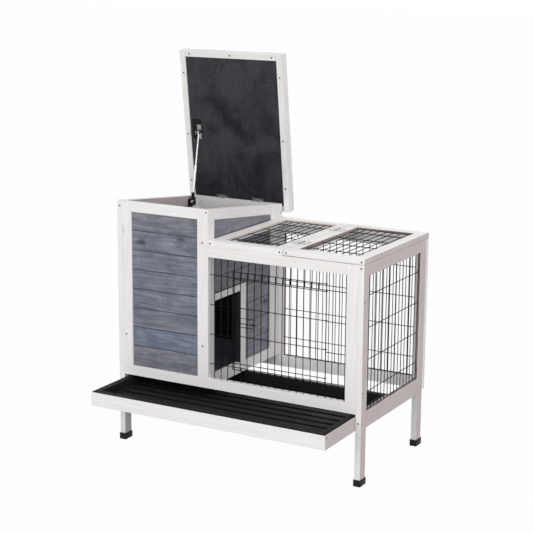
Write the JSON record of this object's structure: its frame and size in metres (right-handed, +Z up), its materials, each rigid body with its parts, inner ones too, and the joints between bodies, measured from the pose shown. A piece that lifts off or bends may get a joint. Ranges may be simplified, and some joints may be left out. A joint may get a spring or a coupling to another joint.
{
  "type": "small animal cage",
  "caption": "Raised timber cage for small pets: planked box with propped roof lid, wire run with door and lift-up top, and a pull-out tray.",
  "frame": {"origin": "on the floor, under the middle of the whole cage's box as it stands with the roof lid open and the tray pulled out", "axes": "+X along the front towards the wire run's end, +Y from the front to the back, +Z up"},
  "size_m": [0.9434, 0.7434, 1.3078],
  "materials": {
    "white_timber": "painted white, satin",
    "blue_grey_planks": "blue-grey stain over softwood grain",
    "stained_bead": "thin reddish-brown stain",
    "charcoal_board": "charcoal paint, matt",
    "roof_felt": "board with bitumen felt, rough",
    "black_wire": "black coated wire",
    "black_plastic": "matt black",
    "pan_plastic": "black, slightly glossy",
    "screw_steel": "darkened",
    "zinc_steel": "zinc plated",
    "black_steel": "black paint",
    "strut_steel": "polished"
  },
  "bodies": {
    "cage": {"left_front_leg": "white_timber", "left_rear_leg": "white_timber", "left_rails": "white_timber", "left_planks": "blue_grey_planks", "right_front_leg": "white_timber", "right_rear_leg": "white_timber", "right_rails": "white_timber", "right_mesh": "black_wire", "front_left_cap": "black_plastic", "front_right_cap": "black_plastic", "rear_left_cap": "black_plastic", "rear_right_cap": "black_plastic", "front_bottom_rail": "white_timber", "box_front_frame": "white_timber", "box_front_planks": "blue_grey_planks", "run_front_frame": "white_timber", "run_mesh_left": "black_wire", "run_mesh_right": "black_wire", "run_mesh_over_door": "black_wire", "run_mesh_under_door": "black_wire", "partition_frame": "white_timber", "doorway_frame": "white_timber", "partition_planks": "blue_grey_planks", "back_frame": "white_timber", "back_planks": "blue_grey_planks", "back_mesh": "black_wire", "run_top_frame": "white_timber", "run_top_mesh": "black_wire", "mesh_beads": "stained_bead", "box_floor": "blue_grey_planks", "frame_screws": "screw_steel", "run_hinge_front_fixed": "zinc_steel", "run_hinge_rear_fixed": "zinc_steel", "box_hinge_left_wall": "zinc_steel", "box_hinge_right_wall": "zinc_steel", "strut_wall_bracket": "black_steel", "tray_runner_left": "white_timber", "tray_runner_right": "white_timber"},
    "box_lid": {"box_lid_frame": "white_timber", "box_lid_board": "charcoal_board", "box_lid_roof": "roof_felt", "box_hinge_left_lid": "zinc_steel", "box_hinge_right_lid": "zinc_steel", "strut_lid_plate": "black_steel", "strut_lid_bracket": "zinc_steel", "box_lid_screws": "screw_steel"},
    "strut_tube": {"strut_tube": "strut_steel"},
    "strut_rod": {"strut_rod": "strut_steel"},
    "run_lid": {"run_lid_frame": "white_timber", "run_lid_mesh": "black_wire", "run_lid_beads": "stained_bead", "run_hinge_front_moving": "zinc_steel", "run_hinge_rear_moving": "zinc_steel", "run_lid_screws": "screw_steel"},
    "run_door": {"run_door_grid": "black_wire", "run_door_guides": "black_wire"},
    "door_bolt": {"run_door_bolt": "black_wire"},
    "tray": {"tray_frame": "white_timber", "tray_pan": "pan_plastic", "tray_screws": "screw_steel"}
  },
  "joints": [
    {"name": "box_lid_hinge", "type": "hinge", "parent": "cage", "child": "box_lid", "pos_m": [-0.2675, 0.33396, 0.77768], "axis": [1, 0, 0], "range_deg": [0, 76.2], "stiffness_Nm_per_rad": 2, "springref_deg": -57.3},
    {"name": "strut_tube_hinge", "type": "hinge", "parent": "cage", "child": "strut_tube", "pos_m": [-0.41125, 0.24965, 0.76879], "axis": [1, 0, 0], "range_deg": [0, 90.54]},
    {"name": "strut_rod_slide", "type": "slide", "parent": "strut_tube", "child": "strut_rod", "axis": [0, 0.1804, 0.9836], "range_m": [-0.09241, 0]},
    {"name": "run_lid_hinge", "type": "hinge", "parent": "cage", "child": "run_lid", "pos_m": [0.18525, 0.08225, 0.7374], "axis": [0, -1, 0], "range_deg": [0, 140]},
    {"name": "run_door_hinge", "type": "hinge", "parent": "cage", "child": "run_door", "pos_m": [0.33625, -0.15705, 0.477], "axis": [0, 0, 1], "range_deg": [0, 160]},
    {"name": "door_bolt_slide", "type": "slide", "parent": "run_door", "child": "door_bolt", "axis": [1, 0, 0], "range_m": [0, 0.015]},
    {"name": "tray_slide", "type": "slide", "parent": "cage", "child": "tray", "axis": [0, 1, 0], "range_m": [-0.15, 0.205]}
  ],
  "couplings": [
    {"joint": "strut_tube_hinge", "follows": "box_lid_hinge", "ratio": 1.1875},
    {"joint": "strut_rod_slide", "follows": "box_lid_hinge", "m_per_rad": -0.069451}
  ]
}
